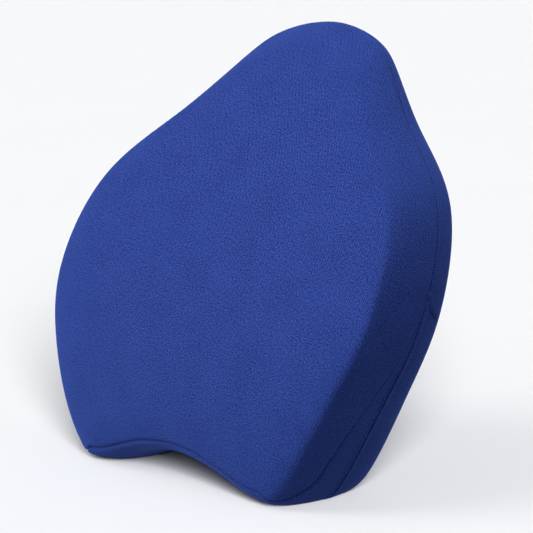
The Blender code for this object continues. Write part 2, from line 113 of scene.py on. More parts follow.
def closed_spline(points, at):
    """Smooth closed curve through the points, and its direction, at parameters from 0 to 1.

    It is a periodic cubic spline whose knots are spaced by the square root of each chord.
    """
    points = np.asarray(points)
    count = len(points)
    here = np.arange(count)
    before, after = here - 1, (here + 1) % count
    chords = np.linalg.norm(points[after] - points, axis=1)
    knots = np.concatenate([[0.0], np.cumsum(np.sqrt(chords))])
    knots /= knots[-1]
    step = np.diff(knots)
    slope = (points[after] - points) / step[:, None]
    system = np.zeros((count, count))
    system[here, here] = 2 * (step[before] + step)
    system[here, before] += step[before]
    system[here, after] += step
    bend = np.linalg.solve(system, 6 * (slope - slope[before]))
    at = np.mod(at, 1.0)
    span = np.clip(np.searchsorted(knots, at, side="right") - 1, 0, count - 1)
    width = step[span][..., None]
    late = ((at - knots[span]) / step[span])[..., None]
    early = 1 - late
    start, end = points[span], points[after[span]]
    bend_start, bend_end = bend[span], bend[after[span]]
    place = early * start + late * end
    place += ((early**3 - early) * bend_start + (late**3 - late) * bend_end) * width**2 / 6
    direction = slope[span]
    swing = (3 * late**2 - 1) * bend_end - (3 * early**2 - 1) * bend_start
    return place, direction + swing * width / 6


def outline(around):
    """Place and outward direction on the outline, as (x, z) pairs."""
    half = [(x * WIDTH / 2, z * (HEIGHT + FOOT_SINK) - FOOT_SINK) for x, z in OUTLINE]
    mirrored = [(-x, z) for x, z in half[-2:0:-1]]
    place, direction = closed_spline(half + mirrored, around)
    outward = np.stack([-direction[..., 1], direction[..., 0]], -1)
    return place, outward / np.linalg.norm(outward, axis=-1, keepdims=True)


def read(sizes, z):
    """The polynomial through sizes at even steps of height, at height z."""
    steps = np.linspace(0, 1, len(sizes))
    return np.polyval(np.polyfit(steps, sizes, len(sizes) - 1), np.asarray(z) / HEIGHT)


def back_depth(x, z):
    """Y of the back: its edge, plus a crown that fades to the sides and to the top."""
    crown = np.clip(1 - z / HEIGHT, 0, 1) * np.clip(1 - (2 * x / WIDTH) ** 2, 0, 1)
    return read(BACK, z) + BACK_CROWN * crown


def seam_depth(z):
    """Y of the back seam."""
    return read(BACK, z) - read(SEAM_TO_BACK, z)


def front_depth(x, z):
    """Y of the front: the back's edge less the thickness, drawn back at the sides."""
    return read(BACK, z) - read(THICKNESS, z) + FRONT_CROWN * (2 * x / WIDTH) ** 2


def sharp_form(edge, outward, along):
    """Points of the moulded shape. Both turns are quarter ellipses that meet at the back seam."""
    front_angle = np.clip(along - 1, 0, 1) * math.pi / 2
    back_angle = np.clip(along - 2, 0, 1) * math.pi / 2
    in_front = along < 2
    front_inset = read(FRONT_TURN, edge[..., 1]) * (1 - np.sin(front_angle))
    inset = np.where(in_front, front_inset, BACK_TURN * (1 - np.cos(back_angle)))
    flat = edge - outward * inset[..., None]
    middle = np.array([0.0, FACE_MIDDLE * HEIGHT])
    spread = np.clip(np.minimum(along, 4 - along), 0, 1)
    flat = middle + (flat - middle) * spread[..., None]
    x, z = flat[..., 0], flat[..., 1]
    seam = seam_depth(edge[..., 1])
    front = seam - (seam - front_depth(x, z)) * np.cos(front_angle)
    back = seam + (back_depth(x, z) - seam) * np.sin(back_angle)
    return np.stack([x, np.where(in_front, front, back), np.maximum(z, 0.0)], -1)


def smooth(share):
    """0 below 0 and 1 above 1, with a smooth change between them."""
    share = np.clip(share, 0, 1)
    return share**2 * (3 - 2 * share)


def form(around, along):
    """Points of the outer surface, on which the cover rounds off the turn of the front.

    Each point there is the weighted mean of points a little before and after it on its own line
    from the middle to the seam, and the reach of that mean fades out over the face and the flank.
    """
    around, along = np.broadcast_arrays(np.asarray(around, float), np.asarray(along, float))
    edge, outward = outline(around)
    reach = TURN_EASE * smooth(1 - np.abs(along - 1) / TURN_EASE_FADE)
    return sum(
        weight * sharp_form(edge, outward, along + reach * shift)
        for shift, weight in TURN_EASE_SHARES
    )


def facing(around, along):
    """Outward unit normals of the form, from small steps along both parameters."""
    step = 1e-4
    along = np.clip(along, 0.02, 3.98)
    across = form(around + step, along) - form(around - step, along)
    down = form(around, along + step) - form(around, along - step)
    found = np.cross(across, down)
    return found / np.linalg.norm(found, axis=-1, keepdims=True)


def around_at_height(z):
    """`around` of the point on the right flank at this height, below the widest part."""
    dense = np.linspace(0.2, 0.45, 600)
    return float(np.interp(-z, -outline(dense)[0][:, 1], dense))


ZIP_END = around_at_height(ZIP_END_HEIGHT)


def zip_share(around):
    """1 between the two ends of the zip and 0 above them, with a short smooth change."""
    return smooth(np.minimum(around - ZIP_END, 1 - ZIP_END - around) / ZIP_END_FADE + 0.5)


def band_front(around):
    """`along` of the seam in front of the bottom band.

    It keeps to the front of the feet, swings back round the outside of each foot, and nears the
    back seam steadily up the flank until the two meet at the end of the zip.
    """
    rise = smooth(outline(around)[0][..., 1] / ZIP_END_HEIGHT)
    under = smooth((np.minimum(around, 1 - around) - BAND_TURNS_FROM) / BAND_TURNS_BY)
    return (BAND_FLANK * (1 - rise) + 2 * rise) * (1 - under) + BAND_FOOT * under


def before_seam(around, distance):
    """`along` of the point that lies this distance in front of the back seam."""
    x, z = np.moveaxis(outline(around)[0], -1, 0)
    return 2 - distance / (seam_depth(z) - front_depth(x, z)) * 2 / math.pi


def behind_seam(around, distance):
    """`along` of the point that lies this distance behind the back seam."""
    x, z = np.moveaxis(outline(around)[0], -1, 0)
    return 2 + distance / (back_depth(x, z) - seam_depth(z)) * 2 / math.pi


def seam_draw(reach, pull=1.0):
    """Depth near a sewn edge: a sharp groove at the stitches, and a low swell beside it."""
    groove = SEAM_DIP * np.exp(-reach / SEAM_DIP_WIDTH)
    beside = reach / SEAM_PUFF_WIDTH
    return (groove - SEAM_PUFF * beside * np.exp(1 - beside)) * pull


def band_pull(around):
    """How hard the band's seam is drawn in: fully under the feet, and a little up the flank."""
    return 1 - BAND_LOOSE * smooth((outline(around)[0][..., 1] - FEET_TOP) / LOOSE_BY)


def lip_draw(reach):
    """Depth near a folded edge: rounded over at the fold, with a low ridge where it is doubled."""
    over = np.clip(LIP_ROUND - reach, 0, LIP_ROUND)
    turned = LIP_ROUND - np.sqrt(LIP_ROUND**2 - over**2)
    return turned - LIP_RIDGE * np.exp(-((reach / LIP_RIDGE_WIDTH - 1) ** 2) * 2)


def reach_to(points, row):
    """Distance from each point to the point of this row in its column, along the column."""
    steps = np.linalg.norm(np.diff(points, axis=0), axis=-1)
    run = np.vstack([np.zeros((1, points.shape[1])), np.cumsum(steps, axis=0)])
    return np.abs(run - run[row])


def surface(name, points, look, pattern=None, poles=False, closed_rows=False, closed_columns=True):
    """Mesh through a grid of points, rows by columns.

    With poles, the first and last rows are each one point. Where the rows are joined round and
    the columns aren't, the first and last columns are each filled with one face.
    """
    rows, columns = points.shape[:2]
    index = np.arange(rows * columns).reshape(rows, columns)
    points = points.copy()
    if poles:
        points[[0, -1]] = points[[0, -1]].mean(axis=1, keepdims=True)
        index[0], index[-1] = index[0, 0], index[-1, 0]
    used, index = np.unique(index, return_inverse=True)
    index = index.reshape(rows, columns)
    across = np.concatenate([index, index[:, :1]], 1) if closed_columns else index
    across = np.concatenate([across, across[:1]], 0) if closed_rows else across
    corners = np.stack([across[:-1, :-1], across[:-1, 1:], across[1:, 1:], across[1:, :-1]], -1)
    if poles:
        faces = corners[0][:, [0, 2, 3]].tolist() + corners[1:-1].reshape(-1, 4).tolist()
        faces += corners[-1][:, [0, 1, 2]].tolist()
    else:
        faces = corners.reshape(-1, 4).tolist()
    if closed_rows and not closed_columns:
        faces += [index[:, 0].tolist(), index[::-1, -1].tolist()]
    mesh = bpy.data.meshes.new(name)
    mesh.from_pydata(points.reshape(-1, 3)[used].tolist(), [], faces)
    if pattern is not None:
        flat = pattern.reshape(-1, 2)[used]
        corner_of = np.empty(len(mesh.loops), np.int32)
        mesh.loops.foreach_get("vertex_index", corner_of)
        layer = mesh.uv_layers.new(name="weave")
        layer.data.foreach_set("uv", flat[corner_of].astype(np.float32).ravel())
    mesh.shade_smooth()
    mesh.materials.append(look)
    made = bpy.data.objects.new(name, mesh)
    bpy.context.scene.collection.objects.link(made)
    return made


class Field:
    """A number, colour or vector of a material. Arithmetic on it adds the shader's Math nodes."""

    def __init__(self, tree, socket):
        self.tree, self.socket = tree, socket

    @classmethod
    def node(cls, tree, kind, settings, values, output):
        """Output of a new node of this kind, with its settings set first and then its inputs."""
        node = tree.nodes.new("ShaderNode" + kind)
        for name, value in settings.items():
            setattr(node, name, value)
        for name, value in values.items():
            feed(tree, node.inputs[name], value)
        return cls(tree, node.outputs[output])

    def maths(self, operation, *values):
        """A Math node on these values, in this order."""
        return self.node(self.tree, "Math", {"operation": operation}, dict(enumerate(values)), 0)

    def __add__(self, other):
        return self.maths("ADD", self, other)

    def __sub__(self, other):
        return self.maths("SUBTRACT", self, other)

    def __rsub__(self, other):
        return self.maths("SUBTRACT", other, self)

    def __mul__(self, other):
        return self.maths("MULTIPLY", self, other)

    __radd__, __rmul__ = __add__, __mul__

    def sine(self, pitch):
        """A wave from -1 to 1 that repeats each time the value grows by the pitch."""
        return self.maths("SINE", self * (2 * math.pi / pitch))

    def within(self, low, high):
        """The value's share of the way from low to high, kept between 0 and 1."""
        return Field.node(self.tree, "MapRange", {"clamp": True}, {0: self, 1: low, 2: high}, 0)


def feed(tree, socket, value):
    """Links a Field to the socket, or sets its value."""
    if isinstance(value, Field):
        tree.links.new(value.socket, socket)
    else:
        socket.default_value = value


def part_of(vector, axis):
    """One of a vector's three numbers: 0 is x, 1 is y and 2 is z."""
    return Field.node(vector.tree, "SeparateXYZ", {}, {0: vector}, axis)


def new_look(name, **constants):
    """A material with its Principled shader, and the shader's constant inputs set."""
    made = bpy.data.materials.new(name)
    made.use_nodes = True
    shader = made.node_tree.nodes["Principled BSDF"]
    for socket, value in constants.items():
        shader.inputs[socket.replace("_", " ")].default_value = value
    return made, made.node_tree, shader


def blended(tree, share, low, high):
    """Colour between low and high by the share."""
    settings = {"data_type": "RGBA"}
    return Field.node(tree, "Mix", settings, {"Factor": share, 6: low, 7: high}, 2)


def clouded(tree, place, size, detail=2.0):
    """Noise from about 0.3 to 0.7 with patches of this size."""
    values = {"Vector": place, "Scale": 1 / size, "Detail": detail}
    return Field.node(tree, "TexNoise", {}, values, "Fac")


def raised(tree, shader, height, distance, strength=1.0):
    """Bumps the shader's normal by the height, which is 1 at this distance above the surface."""
    values = {"Height": height, "Distance": distance, "Strength": strength}
    feed(tree, shader.inputs["Normal"], Field.node(tree, "Bump", {}, values, "Normal"))


# Velour colour ends: the pile's own navy, widened by painted highlights and painted shade.
VELOUR_DARK_AND_SHADE = (0.0004, 0.0020, 0.030, 1.0)
VELOUR_LIGHT_AND_HIGHLIGHT = (0.0172, 0.0345, 0.150, 1.0)
TWILL_PITCH, THREAD_PITCH = 0.0018, 0.0013


def velour_look(name):
    """Short-pile twill: diagonal ribs crossed by fine threads, with fibre noise and soft mottling.

    Short creases cross the places where the cloth is pulled hardest, low on each side of the face.
    The colour is partly the pile's own tone and partly painted highlights on the raised fibres
    and ribs, with painted shade between them.
    """
    made, tree, shader = new_look(
        name, Roughness=0.92, Sheen_Weight=0.20, Sheen_Roughness=0.45,
        Sheen_Tint=(0.12, 0.26, 1.0, 1.0), Specular_IOR_Level=0.03,
    )
    flat = Field.node(tree, "UVMap", {"uv_map": "weave"}, {}, "UV")
    warp = clouded(tree, flat, 0.009)
    u = part_of(flat, 0) + (warp - 0.5) * 0.0016
    v = part_of(flat, 1) - (warp - 0.5) * 0.0012
    rib = (u + v * 0.8).sine(TWILL_PITCH)
    thread = u.sine(THREAD_PITCH) * v.sine(THREAD_PITCH * 1.3)
    fibre = clouded(tree, flat, 0.0010, 2.0)
    tuft = clouded(tree, flat, 0.0022)
    patch = clouded(tree, flat, 0.035)
    weave = rib * 0.30 + thread * 0.34 + (fibre - 0.5) * 3.6 + (tuft - 0.5) * 0.8
    shade = weave + (patch - 0.5) * 0.25 + 0.5
    # Pile's own tone, with painted highlights on the fibres and ribs and painted shade between
    # them.
    colour = blended(tree, shade.within(0.0, 1.0), VELOUR_DARK_AND_SHADE, VELOUR_LIGHT_AND_HIGHLIGHT)
    feed(tree, shader.inputs["Base Color"], colour)
    side = u.maths("ABSOLUTE", u)
    taut = side.within(0.120, 0.155) * (1 - side.within(0.185, 0.210))
    taut = taut * v.within(0.10, 0.15) * (1 - v.within(0.26, 0.32))
    stretched = Field.node(tree, "Mapping", {}, {"Vector": flat, "Scale": (0.16, 1.0, 1.0)}, 0)
    crease = clouded(tree, stretched, 0.0048)
    weave = weave + crease * taut * 1.3
    raised(tree, shader, weave, 0.00009, 0.8)
    return made


velour = velour_look("velour")


def flat_pattern(around, along, points):
    """Where the cloth lay before it was pulled over: flat, and straight out past the turn."""
    edge, outward = outline(around)
    turn = 1.0 if along.mean() < 2 else 3.0
    core = form(around, np.clip(along, 0, 1) if turn == 1.0 else np.clip(along, 3, 4))
    past = np.clip(along, 1, 2) if turn == 1.0 else np.clip(along, 2, 3)
    first = form(around, np.full_like(past, turn))
    half_way = form(around, (past + turn) / 2)
    over = np.linalg.norm(half_way - first, axis=-1)
    over = over + np.linalg.norm(form(around, past) - half_way, axis=-1)
    flat = np.stack([core[..., 0], core[..., 2] * 1.05], -1)
    return flat + np.broadcast_to(outward, flat.shape) * over[..., None]


def drawn_panel(name, along, lip, pull, hidden_step):
    """Closed shell of a panel: its outer face out to its edge, then its inner face back.

    The inner face has only one row for each hidden_step of the outer's.
    """
    around = np.broadcast_to(COLUMNS, along.shape)
    points, out = form(around, along), facing(around, along)
    reach = reach_to(points, len(along) - 1)
    depth = seam_draw(reach, pull) * (1 - lip) + lip_draw(reach) * lip
    inner = (depth + COVER)[::-hidden_step]
    rows = np.arange(len(along))[::-hidden_step]
    if rows[-1] != 0:
        rows, inner = np.append(rows, 0), np.vstack([inner, (depth + COVER)[:1]])
    outer_face = points - out * depth[..., None]
    inner_face = points[rows] - out[rows] * inner[..., None]
    shell = np.concatenate([outer_face, inner_face])
    shell[..., 2] = np.maximum(shell[..., 2], 0.0)
    pattern = flat_pattern(around, along, points)
    pattern = np.concatenate([pattern, pattern[rows]])
    return surface(name, shell, velour, pattern, poles=True)


def rows_to_edge(middle, turn, edge, face_rows, turn_rows):
    """`along` of each row: even over the face, then closer and closer together up to the edge."""
    face = np.linspace(middle, turn, face_rows, endpoint=False)[:, None] + 0 * edge
    late = 1 - (1 - np.linspace(0, 1, turn_rows)[:, None]) ** 2
    return np.vstack([face, turn + (edge - turn) * late])


below = zip_share(COLUMNS)
front_edge = np.where(below > 0.5, band_front(COLUMNS), 2.0)
front_edge = front_edge - SEAM_STEP
front_pull = band_pull(COLUMNS) * below + 1 - below
front_rows = rows_to_edge(0.0, 1.0, front_edge, face_rows=44, turn_rows=50)
front = drawn_panel("front_panel", front_rows, 0 * COLUMNS, front_pull, HIDDEN_STEP)
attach(front, "cushion")
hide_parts("cover_front_panel")

# ---- Cover, back panel -------------------------------------------------------------------------
# The same velour. Its edge is sewn to the front panel over the crown, and folded back beside the
# zip from one end of the zip to the other.

LIPS_SHUT, LIPS_OPEN = 0.0005, 0.0012
NECK_LOW, NECK_HIGH, NECK_FADE = 0.080, 0.155, 0.012


def opening(around):
    """1 where the slider's neck runs between the two sides of the zip, and 0 away from there."""
    low, high = 1 - around_at_height(NECK_LOW), 1 - around_at_height(NECK_HIGH)
    return smooth((around - low) / NECK_FADE + 1) * smooth((high - around) / NECK_FADE + 1)


def lip_gap(around):
    """Half the gap between the folded edges: nearly shut, but open where the slider's neck runs."""
    return LIPS_SHUT + (LIPS_OPEN - LIPS_SHUT) * opening(around)


back_gap = lip_gap(COLUMNS) * below + SEAM_GAP * (1 - below)
back_edge = behind_seam(COLUMNS, back_gap)
back_rows = rows_to_edge(4.0, 3.0, back_edge, face_rows=40, turn_rows=40)
back = drawn_panel("back_panel", back_rows, below, 1.0, HIDDEN_STEP)
back.data.flip_normals()
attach(back, "cushion")
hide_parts("cover_back_panel")

# ---- Cover, bottom band ------------------------------------------------------------------------
# A crescent of velour under the lobes. Its front edge is sewn to the front panel, and its back
# edge is folded over the zip. It narrows to a point at each end of the zip.

BAND_TIP, BAND_LEAST, BAND_NARROW, BAND_ROWS = 0.0012, 0.004, 0.012, 44
BAND_COLUMNS = np.linspace(ZIP_END + BAND_TIP, 1 - ZIP_END - BAND_TIP, 320)

band_start = band_front(BAND_COLUMNS) + SEAM_STEP
band_end = before_seam(BAND_COLUMNS, lip_gap(BAND_COLUMNS))
band_end = np.maximum(band_end, band_start + BAND_LEAST)
across_band = (1 - np.cos(np.linspace(0, math.pi, BAND_ROWS)))[:, None] / 2
band_along = band_start + (band_end - band_start) * across_band
band_around = np.broadcast_to(BAND_COLUMNS, band_along.shape)
band_points, band_out = form(band_around, band_along), facing(band_around, band_along)
to_seam, to_lip = reach_to(band_points, 0), reach_to(band_points, BAND_ROWS - 1)
narrow = np.clip((to_seam + to_lip) / BAND_NARROW, 0, 1)
band_depth = (seam_draw(to_seam, band_pull(BAND_COLUMNS)) + lip_draw(to_lip)) * narrow
band_outer = band_points - band_out * band_depth[..., None]
band_inner = band_points - band_out * (band_depth + COVER)[..., None]
band_shell = np.concatenate([band_outer, band_inner[::-HIDDEN_STEP]])
band_shell[..., 2] = np.maximum(band_shell[..., 2], 0.0)
band_middle = band_points[BAND_ROWS // 2]
band_run = np.append(0, np.cumsum(np.linalg.norm(np.diff(band_middle, axis=0), axis=-1)))
band_pattern = np.stack([np.broadcast_to(band_run, to_seam.shape), to_seam], -1)
band_pattern = np.concatenate([band_pattern, band_pattern[::-HIDDEN_STEP]])
band = surface(
    "bottom_band", band_shell, velour, band_pattern, closed_rows=True, closed_columns=False
)
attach(band, "cushion")
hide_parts("cover_bottom_band")

# ---- Stitches ----------------------------------------------------------------------------------
# Polyester thread in a slightly lighter blue shows in the groove of each sewn seam, where the two
# turned edges are pulled together.

STITCH_PITCH, STITCH_LENGTH, STITCH_THICK = 0.0024, 0.0012, 0.00040
STITCH_DEPTH = 0.0010
STITCH_SIDES, STITCH_RINGS = 8, 4
THREAD_DARK, THREAD_LIGHT = (0.008, 0.018, 0.090, 1), (0.030, 0.056, 0.22, 1)


def thread_look():
    """Twisted thread: fine slanting plies, a little glossier than the velour."""
    made, tree, shader = new_look("thread", Roughness=0.6, Sheen_Weight=0.2)
    place = Field.node(tree, "TexCoord", {}, {}, "Object")
    ply = part_of(place, 2).sine(0.0003)
    shade = ply * 0.2 + clouded(tree, place, 0.004)
    colour = blended(tree, shade.within(0.2, 0.9), THREAD_DARK, THREAD_LIGHT)
    feed(tree, shader.inputs["Base Color"], colour)
    raised(tree, shader, ply, 0.00005)
    return made


thread = thread_look()


def stitches(name, around, along):
    """One small ellipsoid across the seam at each even step of its length.

    Its points are one at each tip and, between them, rings that run round its long axis.
    """
    path = form(around, along)
    run = np.append(0, np.cumsum(np.linalg.norm(np.diff(path, axis=0), axis=1)))
    at = np.interp(np.arange(STITCH_PITCH / 2, run[-1], STITCH_PITCH), run, around)
    seam = np.interp(at, around, along)
    out = facing(at, seam)
    way = form(at + 1e-4, np.interp(at + 1e-4, around, along)) - form(at, seam)
    way /= np.linalg.norm(way, axis=1, keepdims=True)
    side = np.cross(out, way)
    turn = np.linspace(0, 2 * math.pi, STITCH_SIDES, endpoint=False)
    rise = np.linspace(-1, 1, STITCH_RINGS + 2) * math.pi / 2
    rise = np.concatenate([rise[:1], np.repeat(rise[1:-1], STITCH_SIDES), rise[-1:]])
    turn = np.concatenate([turn[:1], np.tile(turn, STITCH_RINGS), turn[:1]])
    thick = STITCH_THICK / 2 * np.cos(rise) * np.cos(turn)
    high = STITCH_THICK / 2 * np.cos(rise) * np.sin(turn)
    long = STITCH_LENGTH / 2 * np.sin(rise)
    middle = form(at, seam) - out * STITCH_DEPTH
    spots = middle[:, None] + long[:, None] * side[:, None] + thick[:, None] * way[:, None]
    spots = spots + high[:, None] * out[:, None]
    tip = 1 + STITCH_RINGS * STITCH_SIDES
    index = np.arange(1, tip).reshape(STITCH_RINGS, STITCH_SIDES)
    loop = np.concatenate([index, index[:, :1]], 1)
    quads = np.stack([loop[:-1, :-1], loop[1:, :-1], loop[1:, 1:], loop[:-1, 1:]], -1)
    first = np.stack([np.zeros(STITCH_SIDES, int), loop[0, :-1], loop[0, 1:]], -1)
    last = np.stack([np.full(STITCH_SIDES, tip), loop[-1, 1:], loop[-1, :-1]], -1)
    shift = (tip + 1) * np.arange(len(at))[:, None, None]
    faces = (quads.reshape(-1, 4) + shift).reshape(-1, 4).tolist()
    faces += (np.concatenate([first, last]) + shift).reshape(-1, 3).tolist()
    mesh = bpy.data.meshes.new(name)
    mesh.from_pydata(spots.reshape(-1, 3).tolist(), [], faces)
    mesh.shade_smooth()
    mesh.materials.append(thread)
    made = bpy.data.objects.new(name, mesh)
    bpy.context.scene.collection.objects.link(made)
    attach(made, "cushion")
    return made


over_crown = np.linspace(ZIP_END - 1.0, ZIP_END, 900)
over_crown = over_crown[over_crown > -ZIP_END]
under_lobes = np.linspace(ZIP_END + ZIP_END_FADE, 1 - ZIP_END - ZIP_END_FADE, 900)
stitches("crown_stitches", over_crown, 0 * over_crown + 2)
stitches("band_stitches", under_lobes, band_front(under_lobes))

# ---- Folded ends of the zip --------------------------------------------------------------------
# At each end of the zip the back panel's edge is folded over the seam and stitched flat. The fold
# is a narrow double strip of velour, which runs down and back over the flank.

FOLD_DROP, FOLD_WIDTH, FOLD_THICK, FOLD_GAP = 0.024, 0.0058, 0.0012, 0.0001
FOLD_FROM, FOLD_TO = 1.985, 2.62
FOLD_CREASE, FOLD_CREASE_AT, FOLD_CREASE_WIDTH = 0.00035, 0.72, 0.12


def folded_end(side):
    """Rounded flat strip carried along a line that goes down the flank as it goes back.

    It falls steeply at first and then less and less, thins out at both ends, and has one pressed
    crease along its lower edge.
    """
    run = np.linspace(0, 1, 48)
    turn = np.linspace(0, 2 * math.pi, 36, endpoint=False)[:, None]
    flat = np.sign(np.cos(turn)) * np.abs(np.cos(turn)) ** 0.4
    lift = np.sign(np.sin(turn)) * np.abs(np.sin(turn)) ** 0.4
    start = around_at_height(ZIP_END_HEIGHT)
    fall = around_at_height(ZIP_END_HEIGHT - FOLD_DROP) - start
    width = around_at_height(ZIP_END_HEIGHT - FOLD_WIDTH) - start
    ends = np.sin(math.pi / 2 * np.clip(np.minimum(run / 0.05, (1 - run) / 0.35), 0, 1))
    around = start + fall * (1 - (1 - run) ** 1.7)
    around = around + width * (0.5 + 0.5 * flat * (0.9 + 0.1 * ends))
    along = FOLD_FROM + (FOLD_TO - FOLD_FROM) * run + 0 * around
    height = FOLD_GAP + FOLD_THICK / 2 * (1 + lift) * ends
    crease = np.exp(-(((flat - FOLD_CREASE_AT) / FOLD_CREASE_WIDTH) ** 2))
    crease = FOLD_CREASE * crease * (lift > 0)
    around = around if side == "right" else 1 - around
    points = form(around, along) + facing(around, along) * (height - crease)[..., None]
    points = points if side == "right" else points[::-1]
    pattern = np.stack([0.004 * flat + 0 * along, 0.03 * run + 0 * along], -1)
    name = f"folded_end_{side}"
    made = surface(name, points, velour, pattern, closed_rows=True, closed_columns=False)
    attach(made, "cushion")
    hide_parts(f"zip_end_tab_{side}")


folded_end("right")
folded_end("left")

# ---- Zip tapes ---------------------------------------------------------------------------------
# Two woven polyester tapes, 5.5 mm wide, sewn under the folded edges of the band and the back
# panel. A herringbone runs along them, and the inner edge of each carries its row of teeth.

ZIP_SLOT = 0.0024
TAPE_WIDTH, TAPE, ZIP_GAP = 0.0055, 0.0005, 0.0003
TAPE_REACH = ZIP_SLOT / 2 + TAPE_WIDTH
ZIP_RUN = np.linspace(0.2403, 0.7597, 360)
TAPE_DARK, TAPE_LIGHT = (0.006, 0.012, 0.055, 1), (0.022, 0.042, 0.17, 1)


def tape_look():
    """Herringbone: ribs that slant one way and then the other, changing over every 2 mm."""
    made, tree, shader = new_look("zip_tape", Roughness=0.85, Sheen_Weight=0.15)
    flat = Field.node(tree, "UVMap", {"uv_map": "weave"}, {}, "UV")
    run = part_of(flat, 0)
    over = part_of(flat, 1)
    slant = over.maths("PINGPONG", over, 0.001)
    weave = (run + slant).sine(0.0006) * 0.5 + over.sine(0.0004) * 0.2
    shade = weave * 0.3 + clouded(tree, flat, 0.003)
    colour = blended(tree, shade.within(0.1, 0.9), TAPE_DARK, TAPE_LIGHT)
    feed(tree, shader.inputs["Base Color"], colour)
    raised(tree, shader, weave, 0.0001)
    return made


tape_finish = tape_look()


STRIP_TURN = np.linspace(0, 2 * math.pi, 24, endpoint=False)[:, None]
STRIP_ACROSS = np.sign(np.cos(STRIP_TURN)) * np.abs(np.cos(STRIP_TURN)) ** 0.35


def woven_strip(name, reach, along, depth, reverse=False):
    """Rings of points round a flat section, carried along the back seam at this depth."""
    around = ZIP_RUN + 0 * reach
    points = form(around, along) - facing(around, along) * depth[..., None]
    run = np.append(0, np.cumsum(np.linalg.norm(np.diff(points[0], axis=0), axis=-1)))
    pattern = np.stack([run + 0 * reach, reach], -1)
    points = points[::-1] if reverse else points
    made = surface(name, points, tape_finish, pattern, closed_rows=True, closed_columns=False)
    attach(made, "cushion")
    return made


def zip_tape(side, beside):
    """Flat strip with rounded edges, beside the back seam and just under the cover."""
    deep = 0.5 - 0.5 * np.sign(np.sin(STRIP_TURN)) * np.abs(np.sin(STRIP_TURN)) ** 0.6
    reach = ZIP_SLOT / 2 + TAPE_WIDTH * (0.5 + 0.5 * STRIP_ACROSS) + 0 * ZIP_RUN
    along = beside(ZIP_RUN + 0 * reach, reach)
    depth = COVER + ZIP_GAP + TAPE * deep
    made = woven_strip(f"woven_tape_{side}", reach, along, depth, reverse=side == "back")
    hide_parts(f"zip_tape_{side}")


zip_tape("front", before_seam)
zip_tape("back", behind_seam)

# ---- Zip teeth ---------------------------------------------------------------------------------
# Each row of teeth is one nylon filament, wound into a tight spiral 1.4 mm across and sewn to the
# tape's edge. The two spirals hook into each other along the whole slot.

COIL, FILAMENT, TOOTH_PITCH = 0.0014, 0.00050, 0.00145
TEETH_SHUT, TEETH_OPEN = 0.0006, 0.0019
NYLON_DARK, NYLON_LIGHT = (0.008, 0.017, 0.080, 1), (0.018, 0.036, 0.15, 1)
COIL_DEPTH = COVER + 2 * ZIP_GAP + TAPE + COIL / 2


def nylon_look():
    """Smooth dyed nylon with faint cloudiness and fine drawing lines."""
    made, tree, shader = new_look("zip_coil", Coat_Weight=0.15)
    place = Field.node(tree, "TexCoord", {}, {}, "Object")
    cloud = clouded(tree, place, 0.0012)
    fine = clouded(tree, place, 0.0003, 3.0)
    colour = blended(tree, cloud.within(0.3, 0.7), NYLON_DARK, NYLON_LIGHT)
    feed(tree, shader.inputs["Base Color"], colour)
    feed(tree, shader.inputs["Roughness"], cloud * 0.25 + 0.30)
    raised(tree, shader, fine, 0.00004)
    return made


nylon = nylon_look()


def zip_teeth(side, beside, sense):
    """Round filament carried along a spiral, whose centre line runs beside the back seam."""
    line = np.linspace(ZIP_RUN[0], ZIP_RUN[-1], 900)
    along = beside(line, TEETH_SHUT + (TEETH_OPEN - TEETH_SHUT) * opening(line))
    centre = form(line, along) - facing(line, along) * COIL_DEPTH
    run = np.append(0, np.cumsum(np.linalg.norm(np.diff(centre, axis=0), axis=1)))
    turns = int(run[-1] / TOOTH_PITCH)
    at = np.linspace(0, run[-1], turns * 10)
    around = np.interp(at, run, line)
    axis = np.stack([np.interp(at, run, centre[:, i]) for i in range(3)], -1)
    out = facing(around, np.full_like(around, 2.0))
    way = np.gradient(axis, axis=0)
    way /= np.linalg.norm(way, axis=1, keepdims=True)
    cross = np.cross(out, way)
    angle = sense * 2 * math.pi * at / TOOTH_PITCH
    radial = cross * np.cos(angle)[:, None] + out * np.sin(angle)[:, None]
    spiral = axis + radial * (COIL - FILAMENT) / 2
    bore = np.cross(np.gradient(spiral, axis=0), radial)
    bore /= np.linalg.norm(bore, axis=1, keepdims=True)
    ring = np.linspace(0, 2 * math.pi, 6, endpoint=False)[:, None, None]
    points = (spiral + FILAMENT / 2 * (np.cos(ring) * radial + np.sin(ring) * bore))[::-1]
    made = surface(f"teeth_{side}", points, nylon, closed_rows=True, closed_columns=False)
    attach(made, "cushion")
    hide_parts(f"zip_coil_{side}")


zip_teeth("front", before_seam, 1)
zip_teeth("back", behind_seam, -1)

# ---- Zip guard ---------------------------------------------------------------------------------
# A strip of the same woven tape, 9 mm wide, lies between the zip and the liner. It is sewn in with
# the tapes at their ends, and keeps the slider's inner plate off the knit.

GUARD_WIDTH, GUARD, GUARD_DEPTH = 0.009, 0.00025, 0.00745

guard_reach = GUARD_WIDTH / 2 * STRIP_ACROSS + 0 * ZIP_RUN
guard_around = ZIP_RUN + 0 * guard_reach
guard_before = before_seam(guard_around, np.maximum(-guard_reach, 0))
guard_behind = behind_seam(guard_around, np.maximum(guard_reach, 0))
guard_along = np.where(guard_reach < 0, guard_before, guard_behind)
guard_depth = GUARD_DEPTH + GUARD / 2 * np.sin(STRIP_TURN)
woven_strip("zip_guard", guard_reach, guard_along, guard_depth)

# ---- Zip stops, slider and pull ----------------------------------------------------------------
# Die-cast zinc with a dull nickel plate. The stops are crimped on the teeth at the ends. The
# slider's two plates ride over and under the teeth, and the pull hangs by its eye from the bail.

PLATE_DULL, PLATE_BRIGHT = (0.46, 0.45, 0.43, 1), (0.66, 0.66, 0.67, 1)
PLATED = ("zip_top_stop_front", "zip_top_stop_back", "zip_bottom_stop", "zip_slider", "zip_pull")


